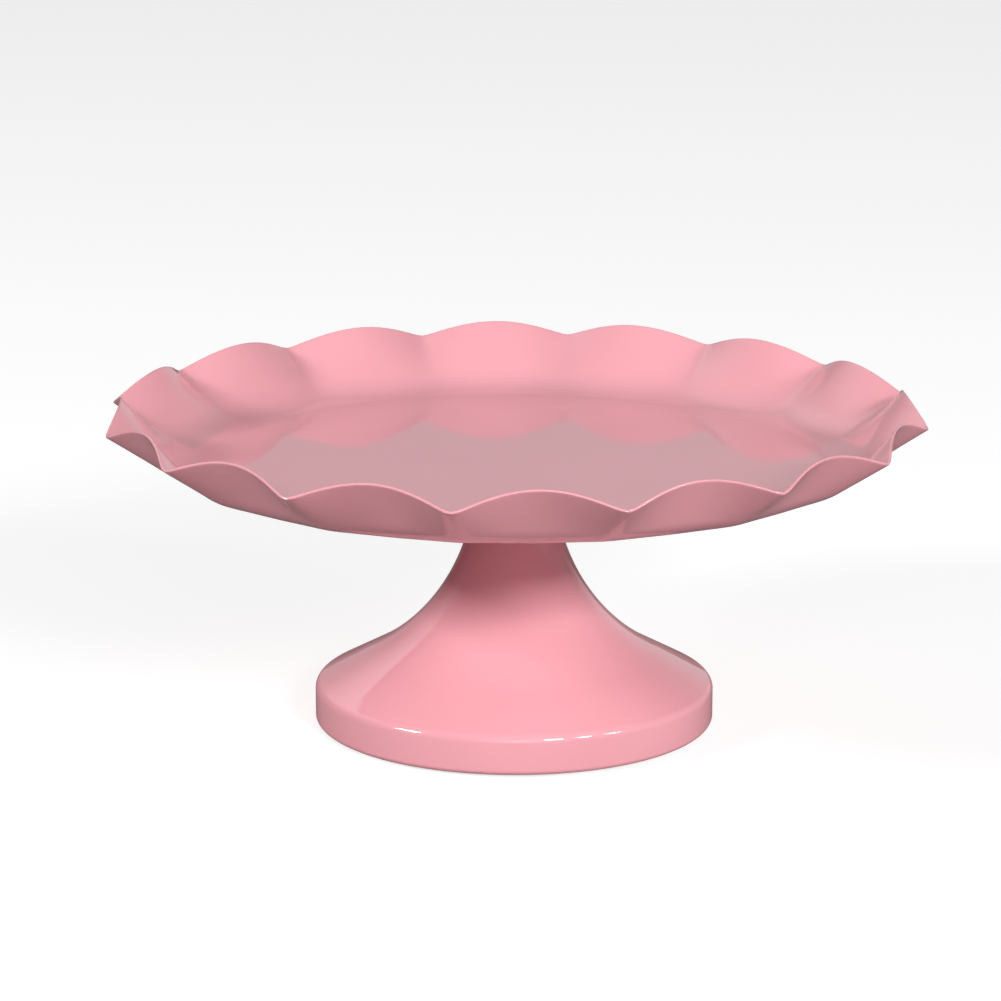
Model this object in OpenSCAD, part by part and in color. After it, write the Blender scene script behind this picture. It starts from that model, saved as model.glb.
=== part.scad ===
// Cake stand: a wavy-rimmed tray that screws onto a trumpet-shaped pedestal.
// Millimetres, +Z up. The origin is on the axis, at the surface that the stand stands on.

/* [Plate] */
// Width of the plate across opposite low points of its rim
plate_d = 300; // [240:1:380]
// Thickness of the plate's sheet
plate_t = 1.0; // [0.6:0.1:1.6]
// Number of waves round the rim
waves = 16; // [10:1:20]
// Height of the rim's low points above the floor of the plate
rim_low = 17.8; // [12:0.2:26]
// Height of the rim's high points above the floor of the plate
rim_high = 24.2; // [18:0.2:32]
// How far the high points stand in from the low points
rim_inset = 6.5; // [3:0.5:9]
// Slope of the wall under a low point, in degrees
low_slope = 33.6; // [25:0.2:40]
// Slope of the wall under a high point, in degrees
high_slope = 51.6; // [42:0.2:60]
// Bend radius between floor and wall under a low point
low_bend = 29; // [20:1:44]
// Bend radius between floor and wall under a high point
high_bend = 20; // [12:1:26]
// Roundness of the folds at the low points, from sharp to soft
fold_softness = 0.29; // [0.15:0.01:0.6]
// Fullness of the waves: a lower value makes them broader
wave_power = 0.8; // [0.6:0.05:1.2]

/* [Pedestal] */
// Width of the pedestal at its skirt
foot_d = 147; // [120:1:180]
// Height of the pedestal from the hem's underside to the top of its head
pedestal_h = 93.5; // [76:0.5:140]
// Thickness of the pedestal's sheet
pedestal_t = 1.2; // [0.8:0.1:1.6]
// Height of the upright skirt, up to the corner where the cone starts
skirt_h = 13.9; // [9:0.1:20]
// Slope of the cone above the skirt, in degrees
cone_slope = 28.5; // [22:0.5:34]
// Width of the neck
neck_d = 29.6; // [26:0.2:40]
// Height of the straight top of the neck
neck_straight = 3.1; // [2.5:0.1:8]
// Radius of the shoulder between skirt and cone
shoulder_r = 3.5; // [2:0.1:5]
// Radius at the edge of the head
head_r = 2.2; // [2:0.1:3]
// Width of the hem turned in under the skirt
hem_w = 14; // [10:0.5:16]
// Radius at the outer edge of the hem
hem_r = 2; // [2:0.1:3]

/* [Fastening] */
// Thread size of the stud
stud_d = 8; // [6:1:10]
// Length of the stud below the reinforcing disc
stud_len = 10; // [8:0.5:14]
// Width of the stud's head
stud_head_d = 14; // [12:0.5:18]
// Height of the stud's head
stud_head_h = 0.8; // [0.6:0.1:1]
// Width of the reinforcing disc
disc_d = 64; // [44:1:90]
// Thickness of the reinforcing disc
disc_t = 1.5; // [1.3:0.1:2.5]
// Wall of the weld nut between its bore and its flats
nut_wall = 2.9; // [2:0.1:4]
// Height of the weld nut below the pedestal's head
nut_h = 6.5; // [5:0.5:9]
// Wall of the collar that centres the weld nut in the head's hole
collar_wall = 1.2; // [0.8:0.1:1.8]

/* [Rubber] */
// How far the gasket's edge lies inside the edge of the pedestal's head
gasket_inset = 2.1; // [1:0.1:4]
// Thickness of the gasket
gasket_t = 1; // [0.6:0.1:2]
// Width of a grip pad
pad_d = 8; // [6:0.5:10]
// Thickness of a grip pad
pad_h = 0.8; // [0.6:0.1:2]

/* [Clearances] */
// Radial running clearance between the stud and the nut
thread_clear = 0.08; // [0.03:0.01:0.1]
// Radial clearance of pieces that drop into or over each other
loose_clear = 0.2; // [0.1:0.05:0.4]

/* [Hidden] */
$fn = 96;

pink = "#f5a9b4";
zinc = "#b9bcc2";
black = "#26262a";

// Levels, from the table upwards
head_z = pad_h + pedestal_h;
disc_z = head_z + gasket_t;
plate_z = disc_z + disc_t;
floor_z = plate_z + plate_t;
stud_end_z = disc_z - stud_len;

// Radii
rim_r = plate_d / 2;
foot_r = foot_d / 2;
neck_r = neck_d / 2;
stud_r = stud_d / 2;
thread_bore_r = stud_r + thread_clear;
collar_r = thread_bore_r + collar_wall;
stud_hole_r = stud_r + loose_clear;
head_hole_r = collar_r + loose_clear;
pad_ring_r = foot_r - hem_w / 2;

// Small edges
disc_chamfer = 0.4;
nut_chamfer = 0.5;
thread_chamfer = 1;
pad_chamfer = 0.2;

// How far the wall's inner edge reaches over the floor that it is joined to
lap = 4;
// How far a cut runs past the face that it opens
past = 1;

// Facets of the curved stretches
steps_per_wave = 8;
bend_steps = 5;
wall_steps = 2;
arc_steps = 8;
sweep_steps = 28;

// ---- Plate ----

function mix(a, b, share) = a + (b - a) * share;

// 0 at a low point of the rim, 1 at a high point; turn counts waves along the rim
function wave(turn) =
    let (s = sin(180 * turn))
    let (full = sqrt(1 + fold_softness * fold_softness) - fold_softness)
    pow((sqrt(s * s + fold_softness * fold_softness) - fold_softness) / full, wave_power);

// The wall's section where the wave is at share k: a bend up from the floor, then a straight
function wall_slope(k) = mix(low_slope, high_slope, k);
function wall_bend(k) = mix(low_bend, high_bend, k);
function wall_straight(k) =
    (mix(rim_low, rim_high, k) - wall_bend(k) * (1 - cos(wall_slope(k)))) / sin(wall_slope(k));

// Distance from the axis at which the bend starts
function wall_start(k) =
    let (edge = rim_r - rim_inset * k - plate_t * sin(wall_slope(k)))
    edge - wall_bend(k) * sin(wall_slope(k)) - wall_straight(k) * cos(wall_slope(k));

// Radius of the floor, which is flat up to there all the way round
floor_r = min(wall_start(0), wall_start(1));

// Upper face of the section, from the floor out to the rim.
// Each entry is [distance from the axis, height above the floor, slope].
function wall_section(k) =
    let (
        slope = wall_slope(k),
        bend = wall_bend(k),
        start = wall_start(k),
        bend_end = [start + bend * sin(slope), bend * (1 - cos(slope))]
    )
    [
        [floor_r - lap, 0, 0],
        for (j = [0 : bend_steps])
            let (a = slope * j / bend_steps)
            [start + bend * sin(a), bend * (1 - cos(a)), a],
        for (j = [1 : wall_steps])
            let (run = wall_straight(k) * j / wall_steps)
            [bend_end[0] + run * cos(slope), bend_end[1] + run * sin(slope), slope]
    ];

// The same section moved to the lower face of the sheet
function lower_face(section) = [
    for (p = section) [p[0] + plate_t * sin(p[2]), p[1] - plate_t * cos(p[2]), p[2]]
];

// A closed strip round the section: up the upper face, round the rim, back along the lower face
function wall_loop(k) =
    let (upper = wall_section(k), lower = lower_face(upper))
    concat(upper, [for (j = [len(lower) - 1 : -1 : 0]) lower[j]]);

// The ring of folded wall, with a high point of the rim on the -Y side
module wavy_wall() {
    stations = waves * steps_per_wave;
    loops = [for (i = [0 : stations - 1]) wall_loop(wave(i / steps_per_wave + 0.5))];
    around = len(loops[0]);
    points = [
        for (i = [0 : stations - 1])
            let (turn = 360 * i / stations - 90)
            for (p = loops[i])
                [p[0] * cos(turn), p[0] * sin(turn), p[1]]
    ];
    faces = [
        for (i = [0 : stations - 1])
            for (j = [0 : around - 1])
                let (
                    next_i = (i + 1) % stations,
                    next_j = (j + 1) % around,
                    a = i * around + j,
                    b = next_i * around + j,
                    c = next_i * around + next_j,
                    d = i * around + next_j
                )
                each [[a, b, c], [a, c, d]]
    ];
    polyhedron(points = points, faces = faces);
}

module plate() {
    color(pink)
    translate([0, 0, floor_z])
    union() {
        wavy_wall();
        translate([0, 0, -plate_t])
        cylinder(r = floor_r - lap / 2, h = plate_t);
    }
}

module reinforcing_disc() {
    color(pink)
    translate([0, 0, disc_z])
    difference() {
        rotate_extrude()
        polygon([
            [0, 0],
            [disc_d / 2 - disc_chamfer, 0],
            [disc_d / 2, disc_chamfer],
            [disc_d / 2, disc_t],
            [0, disc_t]
        ]);
        translate([0, 0, -past])
        cylinder(r = stud_hole_r, h = disc_t + 2 * past);
        translate([0, 0, disc_t - stud_head_h])
        cylinder(r = stud_head_d / 2 + loose_clear, h = stud_head_h + past);
    }
}

module threaded_stud() {
    color(zinc)
    rotate_extrude()
    polygon([
        [0, plate_z],
        [stud_head_d / 2, plate_z],
        [stud_head_d / 2, plate_z - stud_head_h],
        [stud_r, plate_z - stud_head_h],
        [stud_r, stud_end_z + thread_chamfer],
        [stud_r - thread_chamfer, stud_end_z],
        [0, stud_end_z]
    ]);
}

module gasket() {
    color(black)
    translate([0, 0, head_z])
    difference() {
        cylinder(r = neck_r - gasket_inset, h = gasket_t);
        translate([0, 0, -past])
        cylinder(r = stud_hole_r, h = gasket_t + 2 * past);
    }
}

// ---- Pedestal ----

// Points of an arc in a section, from angle a1 to a2
function arc(centre, r, a1, a2, steps) = [
    for (j = [0 : steps])
        let (a = mix(a1, a2, j / steps))
        [centre[0] + r * cos(a), centre[1] + r * sin(a)]
];

// The neck curves out to the cone in one arc, tangent to both
corner_z = pad_h + skirt_h;
sweep_top_z = head_z - neck_straight;
sweep_rise = sweep_top_z - corner_z - (foot_r - neck_r) * tan(cone_slope);
sweep_r = sweep_rise / (1 / cos(cone_slope) - tan(cone_slope));
sweep_centre = [neck_r + sweep_r, sweep_top_z];

// The shoulder may not be wider than the cone that it runs into
cone_run = foot_r - sweep_centre[0] + sweep_r * sin(cone_slope);
shoulder_max = cone_run / (1 - sin(cone_slope));
shoulder = min(shoulder_r, shoulder_max);
shoulder_centre = [
    foot_r - shoulder,
    corner_z - shoulder * (1 / cos(cone_slope) - tan(cone_slope))
];

// Section of the pedestal's face that lies a depth inside its outer face, from hem to head
function pedestal_face(depth) = concat(
    [[foot_r - hem_w, pad_h + depth]],
    arc([foot_r - hem_r, pad_h + hem_r], hem_r - depth, -90, 0, arc_steps),
    arc(shoulder_centre, shoulder - depth, 0, 90 - cone_slope, arc_steps),
    arc(sweep_centre, sweep_r + depth, 270 - cone_slope, 180, sweep_steps),
    arc([neck_r - head_r, head_z - head_r], head_r - depth, 0, 90, arc_steps),
    [[head_hole_r, head_z - depth]]
);

module pedestal() {
    outer = pedestal_face(0);
    inner = pedestal_face(pedestal_t);
    color(pink)
    rotate_extrude()
    polygon(concat(outer, [for (j = [len(inner) - 1 : -1 : 0]) inner[j]]));
}

module weld_nut() {
    underside_z = head_z - pedestal_t;
    corner_r = (thread_bore_r + nut_wall) / cos(30);
    color(zinc)
    difference() {
        union() {
            intersection() {
                translate([0, 0, underside_z - nut_h])
                cylinder(r = corner_r, h = nut_h, $fn = 6);
                translate([0, 0, underside_z - nut_h])
                cylinder(r1 = corner_r - nut_chamfer, r2 = corner_r - nut_chamfer + nut_h, h = nut_h);
            }
            translate([0, 0, underside_z])
            cylinder(r = collar_r, h = pedestal_t - loose_clear);
        }
        translate([0, 0, underside_z - nut_h - past])
        cylinder(r = thread_bore_r, h = nut_h + pedestal_t + 2 * past);
    }
}

// Grip pads stand under the middle of the hem, a quarter turn apart
module grip_pad(number) {
    color(black)
    rotate([0, 0, 90 * number - 135])
    translate([pad_ring_r, 0, 0])
    rotate_extrude()
    polygon([
        [0, 0],
        [pad_d / 2 - pad_chamfer, 0],
        [pad_d / 2, pad_chamfer],
        [pad_d / 2, pad_h],
        [0, pad_h]
    ]);
}

plate();
reinforcing_disc();
threaded_stud();
gasket();
pedestal();
weld_nut();
grip_pad(1);  // grip_pad_1
grip_pad(2);  // grip_pad_2
grip_pad(3);  // grip_pad_3
grip_pad(4);  // grip_pad_4
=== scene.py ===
"""Finished model of a cake stand, built round its fixed CAD frame: a wavy-rimmed enamelled tray that
screws onto a spun trumpet-shaped pedestal. Every size is in metres, in the frame's own axes."""

import math

import bmesh
import bpy
from mathutils import Matrix, Vector


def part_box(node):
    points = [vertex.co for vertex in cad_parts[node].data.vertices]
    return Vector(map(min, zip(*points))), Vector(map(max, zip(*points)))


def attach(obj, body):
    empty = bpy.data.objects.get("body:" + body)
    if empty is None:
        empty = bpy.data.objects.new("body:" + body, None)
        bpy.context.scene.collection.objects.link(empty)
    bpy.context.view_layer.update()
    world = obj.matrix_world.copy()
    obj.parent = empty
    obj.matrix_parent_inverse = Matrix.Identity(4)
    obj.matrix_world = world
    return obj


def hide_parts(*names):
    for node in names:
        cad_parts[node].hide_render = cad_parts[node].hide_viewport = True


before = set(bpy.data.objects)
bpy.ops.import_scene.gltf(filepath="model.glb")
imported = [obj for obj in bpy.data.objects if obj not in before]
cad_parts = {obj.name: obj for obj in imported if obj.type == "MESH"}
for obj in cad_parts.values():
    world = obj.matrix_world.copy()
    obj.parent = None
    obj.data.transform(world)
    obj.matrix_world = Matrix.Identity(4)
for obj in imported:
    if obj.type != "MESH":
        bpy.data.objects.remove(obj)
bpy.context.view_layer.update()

bl_info = {
    "name": "Cake Stand",
    "version": (1, 0, 0),
    "blender": (4, 5, 0),
    "location": "3D View > Sidebar > Cake Stand",
    "description": "Builds the enamelled steel of a cake stand with a wavy rim",
    "category": "Add Mesh",
}

MM = 0.001
TURN = 2 * math.pi
HAIR = 1e-6  # points closer than this are one point, and heights closer than this are level
PLATE_LOW, PLATE_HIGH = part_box("plate")
PEDESTAL_LOW, PEDESTAL_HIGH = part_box("pedestal")
DISC_LOW, DISC_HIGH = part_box("reinforcing_disc")
STUD_LOW, STUD_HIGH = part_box("threaded_stud")
GASKET_LOW, GASKET_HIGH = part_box("gasket")
NUT_LOW, NUT_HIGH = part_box("weld_nut")


# ---- Sizes and colours -------------------------------------------------------------------------


def length(name, description, default):
    """A property that holds a length in metres."""
    return bpy.props.FloatProperty(
        name=name, description=description, default=default, min=0, unit="LENGTH", precision=5
    )


def angle(name, description, default):
    """A property that holds an angle, given here in degrees."""
    return bpy.props.FloatProperty(
        name=name, description=description, default=math.radians(default), subtype="ANGLE"
    )


def share(name, description, default):
    """A property that holds a plain factor."""
    return bpy.props.FloatProperty(name=name, description=description, default=default, min=0)


def colour(name, description, default):
    """A property that holds a linear colour."""
    return bpy.props.FloatVectorProperty(
        name=name, description=description, default=default, size=3, min=0, max=1, subtype="COLOR"
    )


class PlateSizes(bpy.types.PropertyGroup):
    """Sizes of the pressed plate."""

    waves: bpy.props.IntProperty(name="Waves", description="Waves round the rim", default=16, min=3)
    sheet: length("Sheet", "Thickness of the enamelled sheet", 1.0 * MM)
    rim_low: length("Low points", "Height of the rim's low points above the floor", 17.8 * MM)
    rim_high: length("High points", "Height of the rim's high points above the floor", 24.2 * MM)
    rim_inset: length("Inset", "How far in the high points stand from the low points", 6.5 * MM)
    low_slope: angle("Low slope", "Slope of the wall under a low point", 33.6)
    high_slope: angle("High slope", "Slope of the wall under a high point", 51.6)
    low_bend: length("Low bend", "Bend radius under a low point", 29 * MM)
    high_bend: length("High bend", "Bend radius under a high point", 20 * MM)
    softness: share("Fold softness", "Roundness of the folds at the rim", 0.22)
    softness_below: share("Fold softness below", "Roundness of the folds at the floor", 0.4)
    fullness: share("Fullness", "Fullness of the waves: a lower value makes them broader", 0.8)
    edge: length("Rim edge", "Radius along the rim's two edges", 0.42 * MM)


class PedestalSizes(bpy.types.PropertyGroup):
    """Sizes of the spun pedestal."""

    sheet: length("Sheet", "Thickness of the enamelled sheet", 1.2 * MM)
    skirt: length("Skirt", "Height of the upright skirt, up to the cone's corner", 13.9 * MM)
    cone_slope: angle("Cone slope", "Slope of the cone above the skirt", 28.5)
    neck: length("Neck", "Radius of the neck", 14.8 * MM)
    neck_straight: length("Neck straight", "Height of the straight top of the neck", 3.1 * MM)
    shoulder: length("Shoulder", "Radius between skirt and cone", 3.5 * MM)
    head_edge: length("Head edge", "Radius at the edge of the head", 2.2 * MM)
    hem: length("Hem", "Width of the hem turned in under the skirt", 14 * MM)
    hem_edge: length("Hem edge", "Radius at the outer edge of the hem", 2.0 * MM)
    head_hole: length("Head hole", "Radius of the hole in the head", 5.48 * MM)


class FasteningSizes(bpy.types.PropertyGroup):
    """Sizes of the stud, the nut and the rubber."""

    thread: length("Thread", "Outer radius of the stud's thread", 4.0 * MM)
    pitch: length("Pitch", "Pitch of the thread", 1.25 * MM)
    collar: length("Collar", "Radius of the nut's collar", 5.28 * MM)
    bore: length("Bore", "Radius of the nut's bore", 4.08 * MM)
    stud_head: length("Stud head", "Height of the stud's head", 0.8 * MM)
    hole: length("Hole", "Radius of the holes that the stud drops through", 4.2 * MM)


class Finishes(bpy.types.PropertyGroup):
    """Colours of the stand's finishes."""

    enamel: colour("Enamel", "Pink of the enamel", (0.822, 0.378, 0.426))
    zinc: colour("Zinc", "Colour of the zinc plating", (0.62, 0.63, 0.66))
    rubber: colour("Rubber", "Colour of the rubber", (0.022, 0.022, 0.024))
    floor: colour("Floor", "Colour that the floor throws back onto the stand", (0.345, 0.28, 0.285))


# ---- Shapes ------------------------------------------------------------------------------------


def mix(a, b, k):
    """The value a share k of the way from a to b."""
    return a + (b - a) * k


def arc(centre, radius, start, end, steps):
    """Points of an arc in a section, from one angle to another, in degrees."""
    points = []
    for i in range(steps + 1):
        turn = math.radians(mix(start, end, i / steps))
        points.append((centre[0] + radius * math.cos(turn), centre[1] + radius * math.sin(turn)))
    return points


def direction(bearing, elevation):
    """The way to something at a bearing from the front, to the right, and an elevation, in degrees."""
    around, up = math.radians(bearing), math.radians(elevation)
    flat = math.cos(up)
    return Vector((flat * math.sin(around), -flat * math.cos(around), math.sin(up)))


def new_mesh(name, bm, body, slot, *nodes):
    """Turns a bmesh into a finished piece that rides on a body and stands for CAD nodes."""
    mesh = bpy.data.meshes.new(name)
    for face in bm.faces:
        face.smooth = True
    bm.to_mesh(mesh)
    bm.free()
    piece = bpy.data.objects.new(name, mesh)
    bpy.context.scene.collection.objects.link(piece)
    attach(piece, body)
    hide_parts(*nodes)
    return piece


def spin_section(bm, points, steps, closed=True):
    """Spins a section of (radius, height) points once round the Z axis."""
    verts = [bm.verts.new((r, 0, z)) for r, z in points]
    pairs = list(zip(verts, verts[1:]))
    if closed:
        pairs.append((verts[-1], verts[0]))
    edges = [bm.edges.new(pair) for pair in pairs]
    bmesh.ops.spin(
        bm,
        geom=verts + edges,
        cent=(0, 0, 0),
        axis=(0, 0, 1),
        angle=TURN,
        steps=steps,
        use_merge=True,
    )
    bmesh.ops.remove_doubles(bm, verts=bm.verts, dist=HAIR)
    bmesh.ops.recalc_face_normals(bm, faces=bm.faces)


def sharpen(bm, degrees):
    """Keeps the shading crisp where faces meet at more than this angle."""
    for edge in bm.edges:
        if len(edge.link_faces) == 2 and edge.calc_face_angle(0) > math.radians(degrees):
            edge.smooth = False


def add_modifier(piece, kind, name, **values):
    """Adds a modifier and sets its values."""
    modifier = piece.modifiers.new(name, kind)
    for key, value in values.items():
        setattr(modifier, key, value)


# ---- Materials ---------------------------------------------------------------------------------


def group_node(tree, group, **values):
    """Places a shader node group in a tree and sets its inputs."""
    node = tree.nodes.new("ShaderNodeGroup")
    node.node_tree = group
    for key, value in values.items():
        node.inputs[key.replace("_", " ")].default_value = value
    return node


def noise(tree, coordinates, scale, detail, roughness=0.5):
    """A noise texture on given coordinates."""
    node = tree.nodes.new("ShaderNodeTexNoise")
    node.inputs["Scale"].default_value = scale
    node.inputs["Detail"].default_value = detail
    node.inputs["Roughness"].default_value = roughness
    tree.links.new(coordinates, node.inputs["Vector"])
    return node


def map_range(tree, value, low, high, to_low, to_high):
    """Maps a value from one range to another."""
    node = tree.nodes.new("ShaderNodeMapRange")
    for name, number in (("From Min", low), ("From Max", high), ("To Min", to_low), ("To Max", to_high)):
        node.inputs[name].default_value = number
    tree.links.new(value, node.inputs["Value"])
    return node.outputs["Result"]


def fired_surface_group():
    """Group: the faint mottle, uneven gloss and fine waviness of a sprayed and baked coat."""
    group = bpy.data.node_groups.new("Fired Surface", "ShaderNodeTree")
    sockets = group.interface
    sockets.new_socket("Colour", in_out="INPUT", socket_type="NodeSocketColor")
    sockets.new_socket("Mottle", in_out="INPUT", socket_type="NodeSocketFloat")
    sockets.new_socket("Roughness", in_out="INPUT", socket_type="NodeSocketFloat")
    sockets.new_socket("Colour", in_out="OUTPUT", socket_type="NodeSocketColor")
    sockets.new_socket("Roughness", in_out="OUTPUT", socket_type="NodeSocketFloat")
    sockets.new_socket("Height", in_out="OUTPUT", socket_type="NodeSocketFloat")
    nodes, links = group.nodes, group.links
    inside = nodes.new("NodeGroupInput")
    outside = nodes.new("NodeGroupOutput")
    where = nodes.new("ShaderNodeTexCoord").outputs["Object"]

    # The mottle is centimetres across.
    cloud = noise(group, where, 28, 3)
    pooling = map_range(group, cloud.outputs["Fac"], 0.3, 0.7, -1, 1)
    amount = nodes.new("ShaderNodeMath")
    amount.operation = "MULTIPLY_ADD"
    amount.inputs[2].default_value = 1
    links.new(pooling, amount.inputs[0])
    links.new(inside.outputs["Mottle"], amount.inputs[1])
    shade = nodes.new("ShaderNodeHueSaturation")
    links.new(amount.outputs[0], shade.inputs["Value"])
    links.new(inside.outputs["Colour"], shade.inputs["Color"])
    links.new(shade.outputs["Color"], outside.inputs["Colour"])

    # Haze makes the gloss a little uneven.
    haze = noise(group, where, 60, 4, 0.6)
    haze_amount = map_range(group, haze.outputs["Fac"], 0.35, 0.7, 0.9, 1.25)
    gloss = nodes.new("ShaderNodeMath")
    gloss.operation = "MULTIPLY"
    links.new(haze_amount, gloss.inputs[0])
    links.new(inside.outputs["Roughness"], gloss.inputs[1])
    links.new(gloss.outputs[0], outside.inputs["Roughness"])

    # The coat's waviness is a few millimetres across.
    peel = noise(group, where, 260, 1, 0.4)
    links.new(peel.outputs["Fac"], outside.inputs["Height"])
    return group


def new_material(name, metallic=0.0, **constants):
    """A material with one Principled shader, whose constant values are set on the shader itself."""
    material = bpy.data.materials.new(name)
    material.use_nodes = True
    shader = material.node_tree.nodes["Principled BSDF"]
    shader.inputs["Metallic"].default_value = metallic
    for key, value in constants.items():
        shader.inputs[key.replace("_", " ")].default_value = value
    return material, material.node_tree, shader


def add_bump(tree, shader, height, strength, distance):
    """Feeds a height through a Bump node into the shader's normal."""
    bump = tree.nodes.new("ShaderNodeBump")
    bump.inputs["Strength"].default_value = strength
    bump.inputs["Distance"].default_value = distance
    tree.links.new(height, bump.inputs["Height"])
    tree.links.new(bump.outputs["Normal"], shader.inputs["Normal"])


def enamel_material(finishes):
    """Glossy pink baked enamel."""
    material, tree, shader = new_material("pink_enamel", IOR=1.5)
    surface = group_node(
        tree, fired_surface_group(), Colour=(*finishes.enamel, 1), Mottle=0.012, Roughness=0.04
    )
    tree.links.new(surface.outputs["Colour"], shader.inputs["Base Color"])
    tree.links.new(surface.outputs["Roughness"], shader.inputs["Roughness"])
    add_bump(tree, shader, surface.outputs["Height"], 0.05, 0.0004)
    return material


def zinc_material(finishes):
    """Bright zinc plating with a faint grain."""
    material, tree, shader = new_material("zinc_plated_steel", metallic=1.0)
    where = tree.nodes.new("ShaderNodeTexCoord").outputs["Object"]
    grain = noise(tree, where, 900, 3)
    ramp = tree.nodes.new("ShaderNodeMixRGB")
    ramp.inputs["Color1"].default_value = (*[c * 0.82 for c in finishes.zinc], 1)
    ramp.inputs["Color2"].default_value = (*finishes.zinc, 1)
    tree.links.new(grain.outputs["Fac"], ramp.inputs["Fac"])
    tree.links.new(ramp.outputs["Color"], shader.inputs["Base Color"])
    rough = map_range(tree, grain.outputs["Fac"], 0.3, 0.7, 0.22, 0.38)
    tree.links.new(rough, shader.inputs["Roughness"])
    add_bump(tree, shader, grain.outputs["Fac"], 0.2, 0.00005)
    return material


def rubber_material(finishes):
    """Matt black rubber with a fine tooth."""
    material, tree, shader = new_material("black_rubber")
    where = tree.nodes.new("ShaderNodeTexCoord").outputs["Object"]
    tooth = noise(tree, where, 1500, 2)
    dust = noise(tree, where, 90, 3)
    ramp = tree.nodes.new("ShaderNodeMixRGB")
    ramp.inputs["Color1"].default_value = (*finishes.rubber, 1)
    ramp.inputs["Color2"].default_value = (*[c * 2.2 for c in finishes.rubber], 1)
    tree.links.new(dust.outputs["Fac"], ramp.inputs["Fac"])
    tree.links.new(ramp.outputs["Color"], shader.inputs["Base Color"])
    rough = map_range(tree, tooth.outputs["Fac"], 0.3, 0.7, 0.6, 0.8)
    tree.links.new(rough, shader.inputs["Roughness"])
    add_bump(tree, shader, tooth.outputs["Fac"], 0.3, 0.0001)
    return material


MAKERS = {
    "pink_enamel": enamel_material,
    "zinc_plated_steel": zinc_material,
    "black_rubber": rubber_material,
}


def finish_with(piece, slot):
    """Gives a piece the material of a slot, which is made the first time it is asked for."""
    material = bpy.data.materials.get(slot)
    if material is None or not material.get("made_here"):
        for old in [m for m in bpy.data.materials if m.name == slot]:
            old.name = slot + "_frame"
        material = MAKERS[slot](bpy.context.scene.stand_finishes)
        material["made_here"] = True
    piece.data.materials.clear()
    piece.data.materials.append(material)


# ---- Pieces ------------------------------------------------------------------------------------


class STAND_OT_plate(bpy.types.Operator):
    """Press the wavy-rimmed plate from a round sheet"""

    bl_idname = "stand.plate"
    bl_label = "Plate"

    FLOOR_RINGS = 10
    BEND_RINGS = 14
    WALL_RINGS = 14
    STEPS_PER_WAVE = 32
    RIM_SEGMENTS = 4
    RIM_ANGLE = 60  # degrees: only corners sharper than this are rounded

    def wave(self, sizes, turn, softness):
        """0 at a low point of the rim and 1 at a high point."""
        s = math.sin(math.pi * turn)
        height = math.hypot(s, softness) - softness
        return (height / (math.hypot(1, softness) - softness)) ** sizes.fullness

    def section_point(self, sizes, rim_radius, ring, k):
        """Radius and height above the floor of one ring where the wave is at share k."""
        slope = mix(sizes.low_slope, sizes.high_slope, k)
        bend = mix(sizes.low_bend, sizes.high_bend, k)
        rise = mix(sizes.rim_low, sizes.rim_high, k)
        edge = rim_radius - sizes.rim_inset * k - sizes.sheet * math.sin(slope)
        straight = (rise - bend * (1 - math.cos(slope))) / math.sin(slope)
        start = edge - bend * math.sin(slope) - straight * math.cos(slope)
        if ring <= self.FLOOR_RINGS:
            return start * ring / self.FLOOR_RINGS, 0.0
        ring -= self.FLOOR_RINGS
        if ring <= self.BEND_RINGS:
            a = slope * ring / self.BEND_RINGS
            return start + bend * math.sin(a), bend * (1 - math.cos(a))
        run = straight * (ring - self.BEND_RINGS) / self.WALL_RINGS
        return (
            start + bend * math.sin(slope) + run * math.cos(slope),
            bend * (1 - math.cos(slope)) + run * math.sin(slope),
        )

    def execute(self, context):
        sizes = context.scene.stand_plate
        rings = self.FLOOR_RINGS + self.BEND_RINGS + self.WALL_RINGS
        floor_z = PLATE_LOW[2] + sizes.sheet
        rim_radius = PLATE_HIGH[0] / math.cos(math.pi / sizes.waves)

        # A flat disc of numbered rings is spun first, then each ring is pressed to its place.
        bm = bmesh.new()
        flat = [(ring, 0) for ring in range(rings + 1)]
        spin_section(bm, flat, sizes.waves * self.STEPS_PER_WAVE, closed=False)
        for vert in bm.verts:
            ring = round(vert.co.xy.length)
            around = math.atan2(vert.co.y, vert.co.x)
            turn = sizes.waves * (around + math.pi / 2) / TURN + 0.5
            up = max(0, ring - self.FLOOR_RINGS) / (self.BEND_RINGS + self.WALL_RINGS)
            softness = mix(sizes.softness_below, sizes.softness, up)
            k = self.wave(sizes, turn, softness)
            r, z = self.section_point(sizes, rim_radius, ring, k)
            vert.co = (r * math.cos(around), r * math.sin(around), floor_z + z)
        bmesh.ops.recalc_face_normals(bm, faces=bm.faces)
        if sum(face.normal.z for face in bm.faces) < 0:
            bmesh.ops.reverse_faces(bm, faces=bm.faces)

        piece = new_mesh("enamelled_plate", bm, "tray", "pink_enamel", "plate")
        add_modifier(
            piece, "SOLIDIFY", "Sheet", thickness=sizes.sheet, offset=-1, use_even_offset=True
        )
        add_modifier(
            piece,
            "BEVEL",
            "Rim",
            width=sizes.edge,
            segments=self.RIM_SEGMENTS,
            limit_method="ANGLE",
            angle_limit=math.radians(self.RIM_ANGLE),
        )
        finish_with(piece, "pink_enamel")
        return {"FINISHED"}


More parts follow.
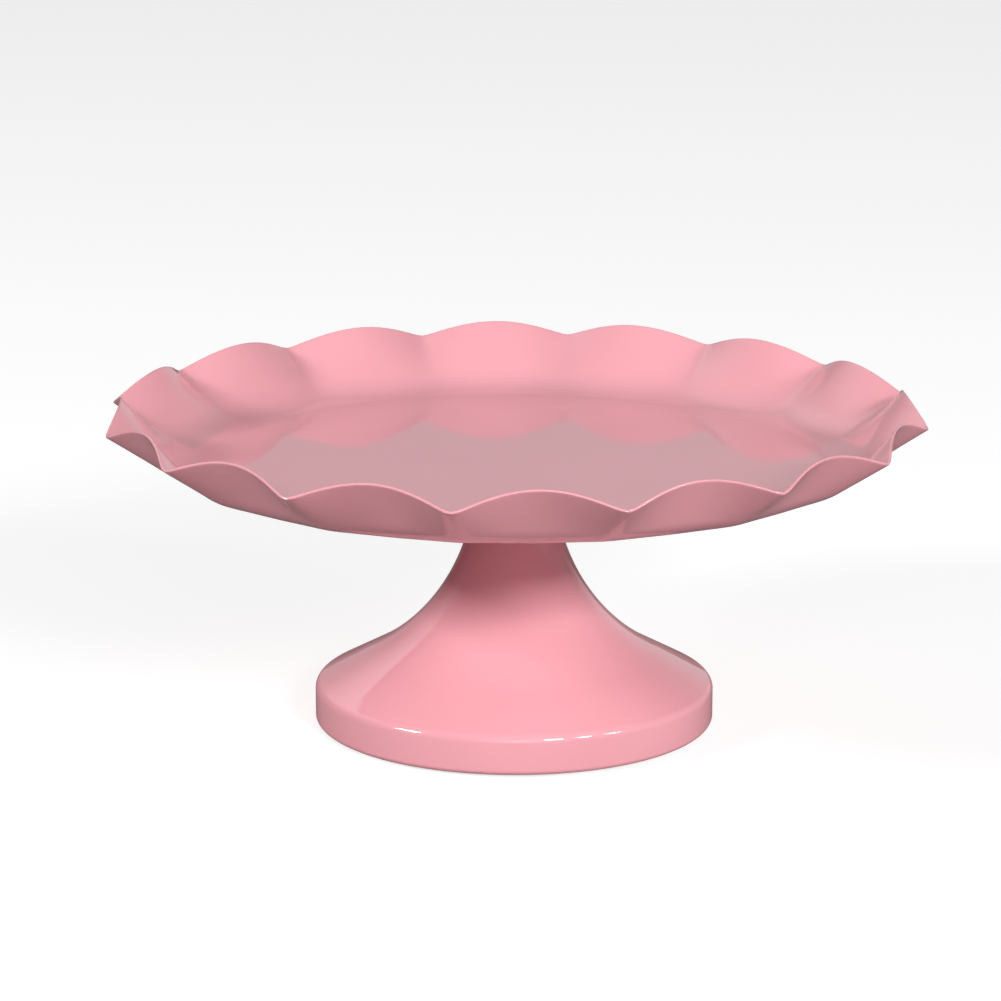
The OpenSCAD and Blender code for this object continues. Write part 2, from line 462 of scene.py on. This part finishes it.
class STAND_OT_disc(bpy.types.Operator):
    """Make the reinforcing disc with its ring of spot welds"""

    bl_idname = "stand.disc"
    bl_label = "Reinforcing Disc"

    WELDS = 6
    WELD_RING = 0.72  # share of the disc's radius
    WELD_RADIUS = 2.6 * MM
    WELD_DEPTH = 0.35 * MM
    EDGE = 0.5 * MM
    RINGS = 44
    STEPS_ROUND = 192

    def execute(self, context):
        sizes = context.scene.stand_fastening
        radius = DISC_HIGH[0]
        low, high = DISC_LOW[2], DISC_HIGH[2]
        inside_edge = radius - self.EDGE
        weld_ring = self.WELD_RING * radius
        shares = [i / self.RINGS for i in range(self.RINGS + 1)]
        under = [(mix(sizes.hole, inside_edge, share_out), low) for share_out in shares]
        rim = arc((inside_edge, low + self.EDGE), self.EDGE, -90, 0, 5)
        bm = bmesh.new()
        spin_section(bm, under + rim[1:] + [(radius, high), (sizes.hole, high)], self.STEPS_ROUND)

        # Each spot weld leaves a shallow round dimple.
        for vert in bm.verts:
            if vert.co.z > low + HAIR:
                continue
            for i in range(self.WELDS):
                turn = TURN * (i + 0.5) / self.WELDS
                centre = Vector((weld_ring * math.cos(turn), weld_ring * math.sin(turn)))
                away = (vert.co.xy - centre).length / self.WELD_RADIUS
                if away < 1:
                    vert.co.z += self.WELD_DEPTH * (1 - away * away) ** 2
        sharpen(bm, 40)
        piece = new_mesh("reinforcing_disc_welded", bm, "tray", "pink_enamel", "reinforcing_disc")
        finish_with(piece, "pink_enamel")
        return {"FINISHED"}


class STAND_OT_stud(bpy.types.Operator):
    """Turn the stud and roll its thread"""

    bl_idname = "stand.stud"
    bl_label = "Threaded Stud"

    STEPS_PER_TURN = 48
    STEPS_ROUND = 64
    THREAD_DEPTH = 0.6  # this and the next two are shares of the pitch
    CREST = 0.06
    FOOT = 0.44
    TIP = 0.5 * MM
    NECK = 0.5 * MM
    HEAD_EDGE = 0.2 * MM
    THREAD_START = 0.45 * MM
    THREAD_END = 1.2 * MM
    SUNK = 0.15 * MM

    def execute(self, context):
        sizes = context.scene.stand_fastening
        low, high = STUD_LOW[2], STUD_HIGH[2]
        under_head = high - sizes.stud_head
        root = sizes.thread - self.THREAD_DEPTH * sizes.pitch
        bm = bmesh.new()
        core = [
            (0, low),
            (root - self.TIP, low),
            (root, low + self.TIP),
            (root, under_head - self.NECK),
            (sizes.thread, under_head),
            (STUD_HIGH[0] - self.HEAD_EDGE, under_head),
            (STUD_HIGH[0], under_head + self.HEAD_EDGE),
            (STUD_HIGH[0], high),
            (0, high),
        ]
        spin_section(bm, core, self.STEPS_ROUND, closed=False)

        # The thread is one ridge, screwed up the shank, that tapers out at both ends.
        first = low + self.THREAD_START
        turns = (under_head - self.THREAD_END - first) / sizes.pitch
        crest = self.CREST * sizes.pitch
        foot = self.FOOT * sizes.pitch
        sunk = root - self.SUNK
        ridge = [(sunk, -foot), (root, -foot), (sizes.thread, -crest), (sizes.thread, crest)]
        ridge += [(root, foot), (sunk, foot)]
        start = [bm.verts.new((r, 0, first + z)) for r, z in ridge]
        face = bm.faces.new(start)
        steps = round(turns * self.STEPS_PER_TURN)
        spun = bmesh.ops.spin(
            bm,
            geom=[face, *face.edges, *start],
            cent=(0, 0, 0),
            axis=(0, 0, 1),
            dvec=(0, 0, turns * sizes.pitch / steps),
            angle=turns * TURN,
            steps=steps,
        )
        end = {v for v in spun["geom_last"] if isinstance(v, bmesh.types.BMVert)}
        for vert in [*start, *end]:
            if vert.co.xy.length > root:
                vert.co.xy *= root / vert.co.xy.length
        bmesh.ops.recalc_face_normals(bm, faces=bm.faces)
        sharpen(bm, 25)
        piece = new_mesh("stud_with_thread", bm, "tray", "zinc_plated_steel", "threaded_stud")
        finish_with(piece, "zinc_plated_steel")
        return {"FINISHED"}


class STAND_OT_gasket(bpy.types.Operator):
    """Mould the rubber gasket"""

    bl_idname = "stand.gasket"
    bl_label = "Gasket"

    STEPS_ROUND = 128

    def execute(self, context):
        sizes = context.scene.stand_fastening
        low, high, radius = GASKET_LOW[2], GASKET_HIGH[2], GASKET_HIGH[0]
        middle = (low + high) / 2
        lip = (high - low) / 2
        section = arc((radius - lip, middle), lip, -90, 90, 10)
        section += [(sizes.hole, high), (sizes.hole, low)]
        bm = bmesh.new()
        spin_section(bm, section, self.STEPS_ROUND)
        sharpen(bm, 50)
        piece = new_mesh("rubber_gasket", bm, "gasket_ring", "black_rubber", "gasket")
        finish_with(piece, "black_rubber")
        return {"FINISHED"}


class STAND_OT_pedestal(bpy.types.Operator):
    """Spin the pedestal from one sheet, from its hem to its head"""

    bl_idname = "stand.pedestal"
    bl_label = "Pedestal"

    SWEEP_STEPS = 48
    STEPS_ROUND = 256

    def face(self, sizes, depth):
        """The section's face that lies a depth inside the outer one, from hem to head."""
        foot = PEDESTAL_HIGH[1]
        base, top = PEDESTAL_LOW[2], PEDESTAL_HIGH[2]
        slope = sizes.cone_slope
        corner = base + sizes.skirt
        opening = 1 / math.cos(slope) - math.tan(slope)
        sweep_top = top - sizes.neck_straight
        sweep_rise = sweep_top - corner - (foot - sizes.neck) * math.tan(slope)
        sweep = sweep_rise / opening
        sweep_centre = (sizes.neck + sweep, sweep_top)
        shoulder_centre = (foot - sizes.shoulder, corner - sizes.shoulder * opening)
        hem_centre = (foot - sizes.hem_edge, base + sizes.hem_edge)
        head_centre = (sizes.neck - sizes.head_edge, top - sizes.head_edge)
        tilt = math.degrees(slope)
        points = [(foot - sizes.hem, base + depth)]
        points += arc(hem_centre, sizes.hem_edge - depth, -90, 0, 8)
        points += arc(shoulder_centre, sizes.shoulder - depth, 0, 90 - tilt, 10)
        points += arc(sweep_centre, sweep + depth, 270 - tilt, 180, self.SWEEP_STEPS)
        points += arc(head_centre, sizes.head_edge - depth, 0, 90, 8)
        points.append((sizes.head_hole, top - depth))
        return points

    def execute(self, context):
        sizes = context.scene.stand_pedestal
        outer = self.face(sizes, 0)
        inner = self.face(sizes, sizes.sheet)
        bm = bmesh.new()
        spin_section(bm, outer + inner[::-1], self.STEPS_ROUND)
        sharpen(bm, 50)
        piece = new_mesh("spun_pedestal", bm, "foot", "pink_enamel", "pedestal")
        finish_with(piece, "pink_enamel")
        return {"FINISHED"}


class STAND_OT_weld_nut(bpy.types.Operator):
    """Make the weld nut with its chamfered corners and its collar"""

    bl_idname = "stand.weld_nut"
    bl_label = "Weld Nut"

    STEPS_ROUND = 96
    FACET = 0.3 * MM  # how far inside the flats the chamfer begins
    LEAD = 0.6 * MM  # chamfer at the mouth of the bore
    CHAMFER_ANGLE = 30
    OUTSIDE = 1.0  # a radius that marks the outside until it is pressed to a hexagon

    def execute(self, context):
        sizes = context.scene.stand_fastening
        low, high = NUT_LOW[2], NUT_HIGH[2]
        flat = NUT_HIGH[1]
        shoulder = PEDESTAL_HIGH[2] - context.scene.stand_pedestal.sheet
        facet = flat - self.FACET
        section = [
            (sizes.bore, low + self.LEAD),
            (sizes.bore + self.LEAD, low),
            (facet, low),
            (self.OUTSIDE, low),
            (self.OUTSIDE, shoulder),
            (sizes.collar, shoulder),
            (sizes.collar, high),
            (sizes.bore, high),
        ]
        bm = bmesh.new()
        spin_section(bm, section, self.STEPS_ROUND)

        # The outside is pressed to a hexagon, whose corners the chamfer cuts back.
        for vert in bm.verts:
            if vert.co.xy.length < self.OUTSIDE / 2:
                continue
            around = math.atan2(vert.co.y, vert.co.x)
            sixth = math.pi / 3
            off_flat = (around % sixth) - sixth / 2
            reach = flat / math.cos(off_flat)
            vert.co.x, vert.co.y = reach * math.cos(around), reach * math.sin(around)
            if vert.co.z < shoulder - HAIR:
                vert.co.z = low + (reach - facet) * math.tan(math.radians(self.CHAMFER_ANGLE))
        bmesh.ops.recalc_face_normals(bm, faces=bm.faces)
        sharpen(bm, 20)
        piece = new_mesh("hexagon_weld_nut", bm, "foot", "zinc_plated_steel", "weld_nut")
        finish_with(piece, "zinc_plated_steel")
        return {"FINISHED"}


class STAND_OT_grip_pads(bpy.types.Operator):
    """Stick the grip pads under the hem"""

    bl_idname = "stand.grip_pads"
    bl_label = "Grip Pads"

    PADS = 4
    STEPS_ROUND = 64
    EDGE = 0.35 * MM

    def execute(self, context):
        for number in range(1, self.PADS + 1):
            node = f"grip_pad_{number}"
            low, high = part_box(node)
            centre = Vector(((low[0] + high[0]) / 2, (low[1] + high[1]) / 2, 0))
            radius = (high[0] - low[0]) / 2
            edge_centre = (radius - self.EDGE, low[2] + self.EDGE)
            section = [(0, low[2])] + arc(edge_centre, self.EDGE, -90, 0, 6)
            section += [(radius, high[2]), (0, high[2])]
            bm = bmesh.new()
            spin_section(bm, section, self.STEPS_ROUND, closed=False)
            bmesh.ops.translate(bm, verts=bm.verts, vec=centre)
            sharpen(bm, 50)
            piece = new_mesh(f"rubber_pad_{number}", bm, "foot", "black_rubber", node)
            finish_with(piece, "black_rubber")
        return {"FINISHED"}


# ---- Stage -------------------------------------------------------------------------------------


class STAND_OT_stage(bpy.types.Operator):
    """Set up the pale floor, the soft lights and the camera"""

    bl_idname = "stand.stage"
    bl_label = "Stage"

    # Each soft light: bearing from the front, to the right, and elevation in degrees, then how
    # tightly it is gathered (the higher, the smaller the light) and how bright its middle is.
    SOFT_LIGHTS = (
        (0, 20, 30, 2.35),
        (0, 4, 20, 1.0),
        (62, 3, 16, 0.95),
        (105, 14, 14, 0.3),
        (-120, 36, 22, 0.63),
        (-150, 36, 22, 0.97),
        (150, 4, 14, 0.6),
        (180, 4, 14, 0.47),
    )
    # Each lamp: name, bearing and elevation in degrees, width and power.
    LAMPS = (
        ("left_lamp", -70, 28.5, 0.62, 35),
        ("right_lamp_1", 20, 25.5, 0.40, 26),
        ("right_lamp_2", 38.3, 25.5, 0.36, 13),
        ("right_lamp_3", 56.7, 25.5, 0.40, 11),
    )
    LAMP_DISTANCE = 2.5
    LAMP_HEIGHT = 0.40
    LAMP_AIM = Vector((0, 0, 0.05))
    BACKDROP = 0.93
    FLOOR_REACH = 12
    PAPER_GLOW = 0.72
    PAPER_SHADE = 0.42

    def add_floor(self, context):
        """A large pale floor at the height the stand rests on."""
        bm = bmesh.new()
        bmesh.ops.create_grid(bm, x_segments=1, y_segments=1, size=self.FLOOR_REACH)
        mesh = bpy.data.meshes.new("floor")
        bm.to_mesh(mesh)
        bm.free()
        floor = bpy.data.objects.new("floor", mesh)
        context.scene.collection.objects.link(floor)
        material, tree, shader = new_material("pale_floor")
        shader.inputs["Base Color"].default_value = (*context.scene.stand_finishes.floor, 1)
        shader.inputs["Roughness"].default_value = 0.9
        shader.inputs["Specular IOR Level"].default_value = 0.0

        # The camera sees the floor as bright white paper, which only faintly shows the shadow.
        # The stand is lit by, and mirrors, the floor's own darker colour.
        nodes, links = tree.nodes, tree.links
        paper = nodes.new("ShaderNodeEmission")
        paper.inputs["Strength"].default_value = self.PAPER_GLOW
        shaded = nodes.new("ShaderNodeBsdfDiffuse")
        shaded.inputs["Color"].default_value = (*[self.PAPER_SHADE] * 3, 1)
        seen = nodes.new("ShaderNodeAddShader")
        links.new(paper.outputs[0], seen.inputs[0])
        links.new(shaded.outputs[0], seen.inputs[1])
        choose = nodes.new("ShaderNodeMixShader")
        links.new(nodes.new("ShaderNodeLightPath").outputs["Is Camera Ray"], choose.inputs["Fac"])
        links.new(shader.outputs[0], choose.inputs[1])
        links.new(seen.outputs[0], choose.inputs[2])
        links.new(choose.outputs[0], nodes["Material Output"].inputs["Surface"])
        mesh.materials.append(material)

    def soft_light_group(self):
        """Group: a round light with a soft edge, far away in one direction."""
        group = bpy.data.node_groups.new("Soft Light", "ShaderNodeTree")
        sockets = group.interface
        sockets.new_socket("Direction", in_out="INPUT", socket_type="NodeSocketVector")
        sockets.new_socket("Gathering", in_out="INPUT", socket_type="NodeSocketFloat")
        sockets.new_socket("Brightness", in_out="INPUT", socket_type="NodeSocketFloat")
        sockets.new_socket("Light", in_out="OUTPUT", socket_type="NodeSocketFloat")
        nodes, links = group.nodes, group.links
        inside = nodes.new("NodeGroupInput")
        outside = nodes.new("NodeGroupOutput")
        where = nodes.new("ShaderNodeTexCoord").outputs["Generated"]
        towards = nodes.new("ShaderNodeVectorMath")
        towards.operation = "DOT_PRODUCT"
        links.new(where, towards.inputs[0])
        links.new(inside.outputs["Direction"], towards.inputs[1])
        value = towards.outputs["Value"]
        steps = (
            ("SUBTRACT", None),
            ("MULTIPLY", "Gathering"),
            ("EXPONENT", None),
            ("MULTIPLY", "Brightness"),
        )
        for operation, factor in steps:
            step = nodes.new("ShaderNodeMath")
            step.operation = operation
            step.inputs[1].default_value = 1
            links.new(value, step.inputs[0])
            if factor:
                links.new(inside.outputs[factor], step.inputs[1])
            value = step.outputs[0]
        links.new(value, outside.inputs["Light"])
        return group

    def add_world(self, context):
        """A dark room with soft lights, which the camera sees as an even pale backdrop."""
        world = bpy.data.worlds.new("studio")
        world.use_nodes = True
        tree = world.node_tree
        nodes, links = tree.nodes, tree.links
        group = self.soft_light_group()
        total = None
        for bearing, elevation, gathering, brightness in self.SOFT_LIGHTS:
            towards = direction(bearing, elevation)
            light = group_node(
                tree, group, Direction=towards, Gathering=gathering, Brightness=brightness
            )
            if total is None:
                total = light.outputs["Light"]
                continue
            add = nodes.new("ShaderNodeMath")
            add.operation = "ADD"
            links.new(total, add.inputs[0])
            links.new(light.outputs["Light"], add.inputs[1])
            total = add.outputs[0]
        lights = nodes["Background"]
        links.new(total, lights.inputs["Strength"])
        lights.inputs["Color"].default_value = (1, 1, 1, 1)
        backdrop = nodes.new("ShaderNodeBackground")
        backdrop.inputs["Color"].default_value = (*[self.BACKDROP] * 3, 1)
        choose = nodes.new("ShaderNodeMixShader")
        links.new(nodes.new("ShaderNodeLightPath").outputs["Is Camera Ray"], choose.inputs["Fac"])
        links.new(lights.outputs[0], choose.inputs[1])
        links.new(backdrop.outputs[0], choose.inputs[2])
        links.new(choose.outputs[0], nodes["World Output"].inputs["Surface"])
        context.scene.world = world

    def add_lamp(self, context, name, bearing, elevation, width, power):
        """A wide lamp that faces the stand; its reflections make the short bright dashes."""
        light = bpy.data.lights.new(name, "AREA")
        light.shape = "RECTANGLE"
        light.size = width
        light.size_y = self.LAMP_HEIGHT
        light.energy = power
        towards = direction(bearing, elevation)
        lamp = bpy.data.objects.new(name, light)
        lamp.location = self.LAMP_AIM + towards * self.LAMP_DISTANCE
        lamp.rotation_euler = (-towards).to_track_quat("-Z", "Y").to_euler()
        context.scene.collection.objects.link(lamp)

    def add_camera(self, context):
        """The camera stands in front, a little to the left, and looks down on the stand."""
        azimuth = math.radians(-3.163)
        elevation = math.radians(14.692)
        distance = 1.399
        pitch = math.radians(13.811)
        yaw = math.radians(-0.194)
        roll = math.radians(-0.111)
        target = Vector((-0.0006, 0, 0.0608))
        back = Vector((0, -math.cos(elevation), math.sin(elevation)))
        forward = Vector(
            (math.sin(yaw) * math.cos(pitch), math.cos(yaw) * math.cos(pitch), -math.sin(pitch))
        )
        right = Vector((math.cos(yaw), -math.sin(yaw), 0))
        up = right.cross(forward)
        level_right = right * math.cos(roll) - up * math.sin(roll)
        level_up = right * math.sin(roll) + up * math.cos(roll)
        axes = Matrix((level_right, level_up, -forward)).transposed().to_4x4()
        data = bpy.data.cameras.new("camera")
        data.sensor_width = 36
        data.lens = 136.84
        data.clip_end = 50
        camera = bpy.data.objects.new("camera", data)
        place = Matrix.Translation(target + back * distance) @ axes
        camera.matrix_world = Matrix.Rotation(azimuth, 4, "Z") @ place
        context.scene.collection.objects.link(camera)
        context.scene.camera = camera

    def execute(self, context):
        self.add_floor(context)
        self.add_world(context)
        for lamp in self.LAMPS:
            self.add_lamp(context, *lamp)
        self.add_camera(context)
        context.scene.view_settings.view_transform = "Standard"
        return {"FINISHED"}


# ---- Panel and running -------------------------------------------------------------------------


STEPS = (
    STAND_OT_stage,
    STAND_OT_plate,
    STAND_OT_disc,
    STAND_OT_stud,
    STAND_OT_gasket,
    STAND_OT_pedestal,
    STAND_OT_weld_nut,
    STAND_OT_grip_pads,
)


class STAND_PT_panel(bpy.types.Panel):
    """Lists the stage and the stand's pieces."""

    bl_idname = "STAND_PT_panel"
    bl_label = "Cake Stand"
    bl_space_type = "VIEW_3D"
    bl_region_type = "UI"
    bl_category = "Cake Stand"

    def draw(self, context):
        for step in STEPS:
            self.layout.operator(step.bl_idname)


GROUPS = {
    "stand_plate": PlateSizes,
    "stand_pedestal": PedestalSizes,
    "stand_fastening": FasteningSizes,
    "stand_finishes": Finishes,
}


def register():
    """Registers the classes and hangs the sizes on the scene."""
    for cls in (*GROUPS.values(), *STEPS, STAND_PT_panel):
        bpy.utils.register_class(cls)
    for name, cls in GROUPS.items():
        setattr(bpy.types.Scene, name, bpy.props.PointerProperty(type=cls))


def unregister():
    """Takes it all away again."""
    for name in GROUPS:
        delattr(bpy.types.Scene, name)
    for cls in (*GROUPS.values(), *STEPS, STAND_PT_panel):
        bpy.utils.unregister_class(cls)


def main():
    register()
    for step in STEPS:
        group, name = step.bl_idname.split(".")
        getattr(getattr(bpy.ops, group), name)()
    bpy.context.view_layer.update()


if __name__ == "__main__":
    main()
